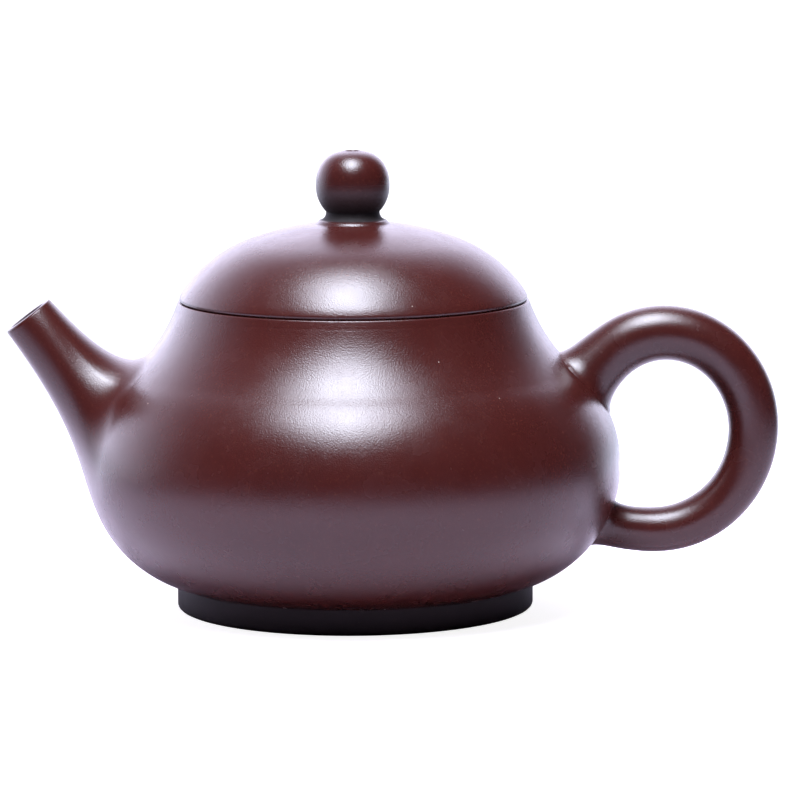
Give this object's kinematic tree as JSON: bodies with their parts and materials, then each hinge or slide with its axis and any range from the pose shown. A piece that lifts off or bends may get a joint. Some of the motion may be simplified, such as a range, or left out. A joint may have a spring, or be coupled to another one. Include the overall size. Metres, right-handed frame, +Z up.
{
  "type": "teapot",
  "caption": "Round unglazed clay teapot with a short tapered spout, a ring handle and a loose domed lid with a ball knob.",
  "frame": {"origin": "centre of the foot ring, in the plane the pot stands on", "axes": "+Z up along the axis of the body and lid, +X from the axis to the handle, -X to the spout"},
  "size_m": [0.1389, 0.0958, 0.0825],
  "materials": {
    "burnished_clay": "burnished unglazed stoneware, satin",
    "plain_clay": "unburnished unglazed stoneware, matt",
    "foot_clay": "darker fired unglazed stoneware, matt"
  },
  "bodies": {
    "pot": {"foot_ring": "foot_clay", "base_disc": "plain_clay", "belly_wall": "burnished_clay", "shoulder": "burnished_clay", "mouth_ring": "plain_clay", "spout": "burnished_clay", "spout_filter": "plain_clay", "handle": "burnished_clay"},
    "lid": {"lid_dome": "burnished_clay", "lid_seat_ring": "plain_clay", "lid_flange": "plain_clay", "knob_neck": "burnished_clay", "knob": "burnished_clay"}
  },
  "joints": [
    {"name": "lid_lift", "type": "slide", "parent": "pot", "child": "lid", "axis": [0, 0, 1], "range_m": [0, 0.05]}
  ]
}
